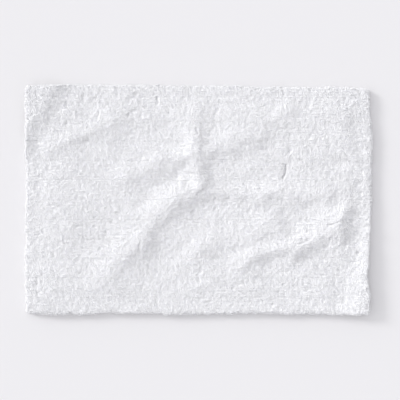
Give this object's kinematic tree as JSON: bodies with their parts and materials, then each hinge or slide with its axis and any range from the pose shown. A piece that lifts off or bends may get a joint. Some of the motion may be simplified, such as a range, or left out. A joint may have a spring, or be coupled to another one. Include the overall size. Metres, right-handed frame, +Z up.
{
  "type": "bath mat",
  "caption": "Rectangular tufted cotton bath mat with deep cut pile, folded hems, a latex grip coat beneath and soft creases from folding.",
  "frame": {"origin": "the middle of the mat's outline, on the floor that it lies on", "axes": "+X along the mat's length and its tufting rows, +Y along its width, +Z up out of the pile"},
  "size_m": [0.914, 0.61, 0.0419],
  "materials": {
    "cotton_pile": "bleached white cotton yarn, cut and fluffed, fully matt with a soft sheen at the tips",
    "ground_cloth": "plain-woven undyed cotton, matt",
    "hem_twill": "white cotton twill, folded and pressed, matt",
    "sewing_thread": "white spun polyester thread, slight lustre",
    "latex_coat": "sprayed cream latex, low sheen, finely ribbed by the weave beneath",
    "label_satin": "white satin ribbon, blank"
  },
  "bodies": {
    "root": {"ground_cloth": "ground_cloth", "latex_grip_coat": "latex_coat", "care_label": "label_satin", "hem_front": "hem_twill", "hem_right": "hem_twill", "hem_back": "hem_twill", "hem_left": "hem_twill", "hem_stitching_front": "sewing_thread", "hem_stitching_right": "sewing_thread", "hem_stitching_back": "sewing_thread", "hem_stitching_left": "sewing_thread", "pile_band_01": "cotton_pile", "pile_band_02": "cotton_pile", "pile_band_03": "cotton_pile", "pile_band_04": "cotton_pile", "pile_band_05": "cotton_pile", "pile_band_06": "cotton_pile", "pile_band_07": "cotton_pile", "pile_band_08": "cotton_pile", "pile_band_09": "cotton_pile", "pile_band_10": "cotton_pile", "pile_band_11": "cotton_pile", "pile_band_12": "cotton_pile"}
  },
  "joints": []
}
